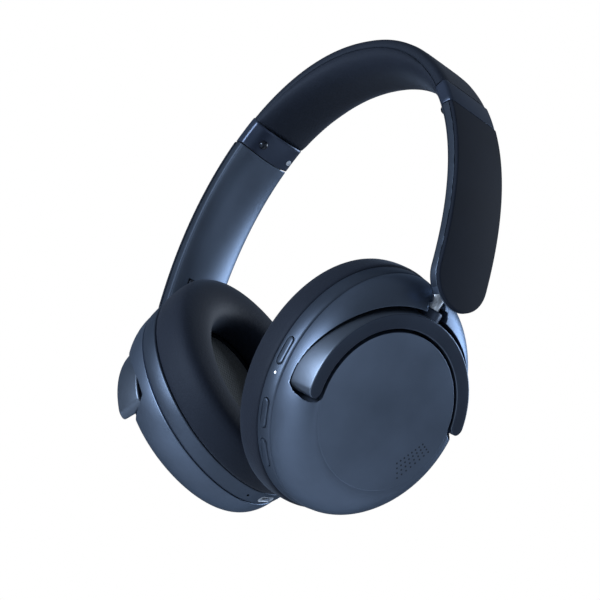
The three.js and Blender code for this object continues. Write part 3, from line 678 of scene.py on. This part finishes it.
def stem_lathe(name, side, centre, profile, mat, count=48):
    """Turns a profile of (radius, up) round the swivel; hollow if it keeps off the axis."""
    rings = []
    for radius, u in profile:
        a = np.linspace(0, 2 * math.pi, count, endpoint=False)
        rings.append(cup_points(side, np.column_stack(
            [centre + radius * np.cos(a), radius * np.sin(a), np.full(count, u)]), tilted=False))
    verts, faces = loft(rings, closed=profile[0][0] > 1)
    return make(name, verts, faces, mat, sharp=30)


# ------------------------------------------------------------ arms and brackets
def handed(points, side):
    return np.asarray(points, float) * np.array([side, 1, 1]) * MM


# At the hinge the edges are softened by three rings: each ring's (inset, step back).
SOFT_END = [(0.35, 0.0), (0.12, 0.08), (0.0, 0.35)]


def arm_rows(section):
    """Rings down an arm, from the hinge's arc to the half-round lower end."""
    rings = []
    for inset_by, back in SOFT_END:
        rings.append([on_arch(SLIT, d, y * (BAND - inset_by) / BAND,
                              end_shift(d, HINGE_RADIUS - HINGE_GAP) - back)
                      for d, y in section])
    for angle in np.linspace(SLIT - 1.6, 0, 56):
        rings.append([on_arch(angle, d, y) for d, y in section])
    rings.append([on_arch(ARM_END - SHOULDER, d, y) for d, y in section])
    for beta in np.linspace(0, math.pi / 2, 22)[1:]:
        rings.append([(HALF_WIDTH - d, y * math.cos(beta), ARM_END - abs(y) * math.sin(beta))
                      for d, y in section])
    return rings


def end_shift(depth, radius):
    """How far past the slit line a point of that depth lies on the hinge's arc."""
    return math.sqrt(radius ** 2 - (HINGE_DEPTH - depth) ** 2) - HINGE_DROP


def inner_curve(steps=24):
    """The rounded inner side shared by arms and brackets, from edge to edge."""
    return [(4.2 + 4.5 * math.sin(t), BAND * math.cos(t))
            for t in np.linspace(0, math.pi, steps + 1)]


def arm(side):
    """The hollow arm and the flat plate on its outer face."""
    label = LABEL[side]
    shell = [(1.8, BAND - 0.15), (1.95, BAND)] + inner_curve() + [(1.95, -BAND),
                                                                 (1.8, 0.15 - BAND)]
    rows = arm_rows(shell)
    verts, faces = loft([handed(r, side) for r in rows])
    body = make(f"{label}_arm_body", verts, faces, SHELL, sharp=45)
    relief_and_slot(body, side)
    # Painted shade: the faces looking sideways, the arm's side walls, take the darker copy of the
    # finish.
    second_finish(body, (0, 1, 0), ARM_WALL_SHADE, both_ways=True)
    place(body, f"{label}_arm", "satin_navy", f"{label}_arm_shell")
    plate = rounded([(0, BAND), (1.55, BAND), (1.55, -BAND), (0, -BAND)],
                    [0.75, 0.1, 0.1, 0.75], 5)
    rows = arm_rows(plate)
    verts, faces = loft([handed(r, side) for r in rows])
    cover = make(f"{label}_arm_cover", verts, faces, MATTE, sharp=45)
    place(cover, f"{label}_arm", "matte_navy", f"{label}_arm_plate")


def world_block(x0, x1, y0, y1, z0, z1, side):
    """A box between those limits; x is the distance from the middle plane."""
    corners = [(x, y, z) for x in (x0, x1) for y, z in ((y0, z0), (y1, z0), (y1, z1), (y0, z1))]
    world = handed(corners, side)
    verts, faces = loft([world[:4], world[4:]])
    return make("cutter", verts, faces, DARK)


def relief_and_slot(body, side):
    """The carriage's channel, and on the left the relief that clears the tilted cup."""
    cutters = [world_block(60, SLOT_WALL, -SLOT_HALF, SLOT_HALF, 60, SLOT_TOP, side)]
    if side == LEFT:
        cutters.append(world_block(60, RELIEF_X, -RELIEF_HALF, RELIEF_HALF, 60, RELIEF_TOP, side))
    carve(body, cutters, 45)
    even = body.modifiers.new("even", "WEIGHTED_NORMAL")
    even.keep_sharp = True
    apply_modifiers(body)


def bracket(side):
    """End piece of the headband, with a screw and a small peg on its inner side."""
    label = LABEL[side]
    edge = [(0.0, 11.9), (0.15, 12.5), (0.5, 13.0), (1.0, 13.3), (1.6, BAND)]
    section = edge + inner_curve() + [(d, -y) for d, y in edge[::-1]]
    rings = []
    for inset_by, back in SOFT_END:
        rings.append([on_arch(SLIT, d, y * (BAND - inset_by) / BAND,
                              end_shift(d, HINGE_RADIUS + HINGE_GAP) + back)
                      for d, y in section])
    for angle in np.linspace(SLIT + 1.9, BRACKET_TOP - 0.3, 14):
        rings.append([on_arch(angle, d, y) for d, y in section])
    rings.append([on_arch(BRACKET_TOP, d + (0.25 if d < 4 else -0.25), y * 0.985)
                  for d, y in section])
    verts, faces = loft([handed(r, side) for r in rings])
    piece = make(f"{label}_bracket_body", verts, faces, GLOSS, sharp=45)
    place(piece, "headband", "gloss_navy", f"{label}_bracket")
    stud(f"{label}_screw_head", side, 43.8, -6.2, [
        (0.01, 7.6), (1.9, 7.6), (1.9, 8.4), (1.8, 8.9), (1.5, 9.35), (1.0, 9.7), (0.5, 9.85),
        (0.01, 9.9)], BEAD, f"{label}_bracket_screw")
    stud(f"{label}_peg_head", side, 43.4, 10, [
        (0.01, 6.6), (1.15, 6.6), (1.15, 7.45), (1.0, 7.65), (0.7, 7.65), (0.6, 7.4),
        (0.01, 7.35)], STEEL, f"{label}_stop_peg")


def stud(name, side, angle, y, profile, mat, node):
    """A small turned head on the bracket, from a profile of (radius, depth in the arch)."""
    _, along, _ = arch_frame(angle)
    rings = []
    for radius, depth in profile:
        a = np.linspace(0, 2 * math.pi, 28, endpoint=False)
        centre = on_arch(angle, depth, y)
        rings.append([centre + radius * (math.cos(t) * along + math.sin(t) * np.array([0, 1, 0]))
                      for t in a])
    verts, faces = loft([handed(r, side) for r in rings])
    place(make(name, verts, faces, mat), "headband", "bright_steel", node)


# ------------------------------------------------------------ headband
def headband_cover():
    """Leather stretched over the top of the band, its edges turned in under the cushion."""
    half = [(0.0, 0.0), (0.0, 4.0), (0.02, 8.0), (0.12, 10.4), (0.5, 12.0), (1.2, 13.0),
            (2.2, BAND), (3.6, BAND + 0.05), (4.5, BAND - 0.1), (4.75, BAND - 0.5),
            (4.75, 11.8), (2.2, 11.6), (2.2, 4.0)]
    section = half + [(d, -y) for d, y in half[:0:-1]]
    rings = [[on_arch(a, d, y) for d, y in section]
             for a in np.linspace(BRACKET_TOP + 0.12, 180 - BRACKET_TOP - 0.12, 120)]
    verts, faces = loft([handed(r, RIGHT) for r in rings])
    piece = make("headband_leather", verts, faces, COVER, sharp=50)
    place(piece, "headband", "cover_leather", "headband_cover")


def headband_cushion():
    """Foam pad: deepest at the crown, pinched along both edges and at its two ends."""
    rings = []
    for angle in np.linspace(BRACKET_TOP + 0.15, 180 - BRACKET_TOP - 0.15, 150):
        share = (angle - BRACKET_TOP) / (180 - 2 * BRACKET_TOP)
        swell = math.sin(share * math.pi)
        pinch = 1 - 0.5 * math.exp(-((0.5 - abs(share - 0.5)) / 0.012) ** 2)
        edge, middle = 4.6 + 0.9 * swell, 8.75 + 4.85 * swell
        crown = []
        power = 1 - 0.2 * min(1.0, 1.6 * swell)
        for t in np.linspace(0, math.pi, 31):
            y = (BAND + 0.05) * math.copysign(abs(math.cos(t)) ** power, math.cos(t))
            d = edge + (middle - edge) * math.sin(t) ** power
            crown.append((4.85 + (d - 4.85) * pinch, y * (0.97 + 0.03 * pinch)))
        base = [(4.85, -(BAND - 0.35)), (4.85, -6), (4.85, 0), (4.85, 6), (4.85, BAND - 0.35)]
        rings.append([on_arch(angle, d, y) for d, y in crown + base])
    verts, faces = loft([handed(r, RIGHT) for r in rings])
    piece = make("headband_pad", verts, faces, PAD, sharp=70)
    place(piece, "headband", "pad_leather", "headband_cushion")


# ------------------------------------------------------------ cushions and cloths
# Round an ear cushion: share of the way from hole to outer edge, and h.
CUSHION_SECTION = [
    (0.93, -17.35), (0.975, -17.6), (0.995, -19.0), (1.0, -21.5), (1.0, -25), (0.985, -28),
    (0.945, -30.5), (0.87, -32.15), (0.75, -33.0), (0.6, -33.4), (0.5, -33.45), (0.38, -33.3),
    (0.26, -32.75), (0.15, -31.7), (0.07, -30.2), (0.02, -27.8), (0.0, -25), (0.0, -22),
    (0.01, -20), (0.05, -18.75), (0.3, -18.75), (0.6, -18.75), (0.9, -18.75), (0.9, -17.35)]


def ear_cushion(side):
    """Ring of foam in leather, filled out by the simulation and then smoothed."""
    label = LABEL[side]
    rings = []
    count = 128
    for i in range(count):
        a = i / count * 2 * math.pi
        ring = []
        for part, h in CUSHION_SECTION:
            up = HOLE_UP + (CUSHION_UP - HOLE_UP) * part
            across = HOLE_ACROSS + (CUSHION_ACROSS - HOLE_ACROSS) * part
            ring.append((h, across * math.sin(a), SEAM_CENTRE + up * math.cos(a)))
        rings.append(cup_points(side, ring))
    verts, faces = loft(rings, closed=True)
    piece = make(f"{label}_ear_pad", verts, faces, PAD, sharp=60)
    inflate(piece, side)
    m = piece.modifiers.new("smooth", "SUBSURF")
    m.levels = m.render_levels = 1
    apply_modifiers(piece)
    shade(piece, 60)
    place(piece, f"{label}_cup", "pad_leather", f"{label}_ear_cushion")


def inflate(piece, side):
    """Foam pushes the leather out: a short cloth simulation, pinned where it is clamped."""
    frames, clamped_above, cap = 14, -20.5, 0.4 * MM
    rest = np.array([v.co[:] for v in piece.data.vertices])
    origin, out, _ = cup_frame(side)
    h = (rest / MM - origin) @ out
    group = piece.vertex_groups.new(name="clamped")
    group.add([i for i, x in enumerate(h) if x > clamped_above], 1.0, "REPLACE")
    cloth = piece.modifiers.new("foam", "CLOTH")
    settings = cloth.settings
    settings.vertex_group_mass = "clamped"
    settings.use_pressure = True
    settings.uniform_pressure_force = 3.0
    settings.effector_weights.gravity = 0
    settings.tension_stiffness = settings.compression_stiffness = 25
    settings.bending_stiffness = 4
    cloth.point_cache.frame_start, cloth.point_cache.frame_end = 1, frames
    for step in range(1, frames + 1):
        bpy.context.scene.frame_set(step)
    graph = bpy.context.evaluated_depsgraph_get()
    shaped = piece.evaluated_get(graph)
    moved = np.array([v.co[:] for v in shaped.data.vertices]) - rest
    size = np.linalg.norm(moved, axis=1, keepdims=True)
    moved *= np.minimum(1, cap / np.maximum(size, 1e-9))
    piece.modifiers.clear()
    bpy.context.scene.frame_set(1)
    for vertex, spot, shift in zip(piece.data.vertices, rest, moved):
        vertex.co = spot + shift


def driver_cloth(side):
    """Thin cloth over the driver, slightly domed."""
    label = LABEL[side]
    rings = []
    for share in [1.0, 0.97, 0.9, 0.75, 0.55, 0.35, 0.15, 0.03]:
        h = -18.3 + 0.9 * share ** 6 + 0.25 * math.cos(share * math.pi / 2)
        rings.append(cup_points(side, oval(h, 30.6 * share, 21.6 * share, count=96)))
    verts, faces = loft(rings)
    piece = make(f"{label}_ear_cloth", verts, faces, CLOTH)
    place(piece, f"{label}_cup", "ear_cloth", f"{label}_driver_cloth")


def carriage(side):
    """The sliding block and its collar, with softened edges."""
    label = LABEL[side]
    inner, outer, half, bottom, top = 71.2, 77.3, 7.7, 92.6, 104.4
    block = world_block(inner, outer, -half, half, bottom, top, side)
    block.name = f"{label}_carriage_block"
    bevel = block.modifiers.new("soft", "BEVEL")
    bevel.width, bevel.segments = 0.6 * MM, 3
    apply_modifiers(block)
    shade(block)
    place(block, f"{label}_slider", "dark_plastic", f"{label}_carriage")
    collar = stem_lathe(f"{label}_collar", side, SWIVEL_H, [
        (3.1, 50.6), (3.5, 50.6), (3.8, 50.9), (3.8, 55.0), (3.8, 57.0), (3.1, 57.0)], STEEL)
    place(collar, f"{label}_slider", "dark_plastic")


# ------------------------------------------------------------ build
headband_cover()
headband_cushion()
for side in (RIGHT, LEFT):
    housing(side)
    side_band(side)
    yoke(side)
    arm(side)
    bracket(side)
    ear_cushion(side)
    driver_cloth(side)
    carriage(side)
    sound_hole_shade(side)
buttons()
ports()

# Better finishes for the CAD nodes that stay, and dark plastic on the steel hinge pins as painted
# shade in the hinge gap
FINISHES = {"dark_plastic": DARK, "spring_steel": STEEL, "bright_steel": STEEL,
            "film": DARK, "board_green": BOARD, "battery_foil": FOIL, "satin_navy": SATIN,
            "matte_navy": MATTE, "gloss_navy": GLOSS, "pad_leather": PAD,
            "cover_leather": COVER, "ear_cloth": CLOTH, "lens_white": LENS}
# Painted shade: the hinge pins take the dark plastic so the hinge gap stays dark.
HINGE_PIN_SHADE = {"right_hinge_pin": DARK, "left_hinge_pin": DARK}
slots = {s["node"]: s["material_slot"] for s in frame["record"]["subparts"]}
for name, node in frame["nodes"].items():
    node.data.materials.clear()
    node.data.materials.append(HINGE_PIN_SHADE.get(name, FINISHES[slots[name]]))


# ------------------------------------------------------------ stage, lights and camera
# Metres and degrees
FLOOR_Z = -0.55
CAMERA_AZIMUTH, CAMERA_ELEVATION, CAMERA_ROLL, CAMERA_DISTANCE = 50.26, -21.40, 15.66, 1.26856
CAMERA_LENS, CAMERA_TARGET = 198.79, Vector((23.64, -27.7, 74.85)) * MM
COOL = (0.86, 0.93, 1.0)
LIGHT_DISTANCE = 1.3


def floor_sheet():
    bpy.ops.mesh.primitive_plane_add(size=12, location=(0, 0, FLOOR_Z))
    floor = bpy.context.object
    floor.name = "floor"
    floor.data.materials.append(material("floor_white", (0.86, 0.86, 0.86), 0.8, bump=0.0,
                                         mottle=0.0))


def camera_axes(az, el, roll):
    """The camera's right, up and back directions."""
    a, e, r = (math.radians(x) for x in (az, el, roll))
    back = Vector((math.sin(a) * math.cos(e), -math.cos(a) * math.cos(e), math.sin(e)))
    right = Vector((math.cos(a), math.sin(a), 0))
    up = back.cross(right)
    return (math.cos(r) * right + math.sin(r) * up, -math.sin(r) * right + math.cos(r) * up,
            back)


def add_camera():
    right, up, back = camera_axes(CAMERA_AZIMUTH, CAMERA_ELEVATION, CAMERA_ROLL)
    data = bpy.data.cameras.new("camera")
    data.lens, data.sensor_width = CAMERA_LENS, 36
    data.clip_start, data.clip_end = 0.01, 50
    camera = bpy.data.objects.new("camera", data)
    bpy.context.scene.collection.objects.link(camera)
    rotation = Matrix((right, up, back)).transposed().to_4x4()
    camera.matrix_world = Matrix.Translation(CAMERA_TARGET + back * CAMERA_DISTANCE) @ rotation
    bpy.context.scene.camera = camera
    return right, up, back


def soft_light(name, direction, size, power):
    """A round soft lamp that shines on the target from that direction."""
    data = bpy.data.lights.new(name, "AREA")
    data.shape, data.size, data.energy, data.color = "DISK", size, power, COOL
    lamp = bpy.data.objects.new(name, data)
    bpy.context.scene.collection.objects.link(lamp)
    direction = direction.normalized()
    lamp.location = CAMERA_TARGET + direction * LIGHT_DISTANCE
    lamp.rotation_euler = direction.to_track_quat("Z", "Y").to_euler()


def studio():
    """Camera, four soft lamps set out from the camera's axes, and a white world."""
    right, up, back = add_camera()
    soft_light("key", -0.85 * right + 0.5 * up + 0.38 * back, 0.7, 16)
    soft_light("low", -0.8 * right - 0.6 * up + 0.42 * back, 0.9, 14)
    soft_light("front", 0.75 * right - 0.1 * up + 0.65 * back, 0.8, 2)
    soft_light("behind", 0.88 * right - 0.02 * up - 0.5 * back, 0.8, 12)
    bpy.context.scene.world = white_world(0.16)
    bpy.context.scene.view_settings.view_transform = "Standard"


def white_world(light):
    """Pure white to look at, and a much weaker even light on the object."""
    world = bpy.data.worlds.new("studio")
    world.use_nodes = True
    nodes, links = world.node_tree.nodes, world.node_tree.links
    seen = nodes["Background"]
    seen.inputs["Color"].default_value = (1, 1, 1, 1)
    lit = nodes.new("ShaderNodeBackground")
    lit.inputs["Color"].default_value = (0.9, 0.95, 1, 1)
    lit.inputs["Strength"].default_value = light
    path = nodes.new("ShaderNodeLightPath")
    mix = nodes.new("ShaderNodeMixShader")
    links.new(path.outputs["Is Camera Ray"], mix.inputs["Fac"])
    links.new(lit.outputs["Background"], mix.inputs[1])
    links.new(seen.outputs["Background"], mix.inputs[2])
    links.new(mix.outputs["Shader"], nodes["World Output"].inputs["Surface"])
    return world


floor_sheet()
studio()
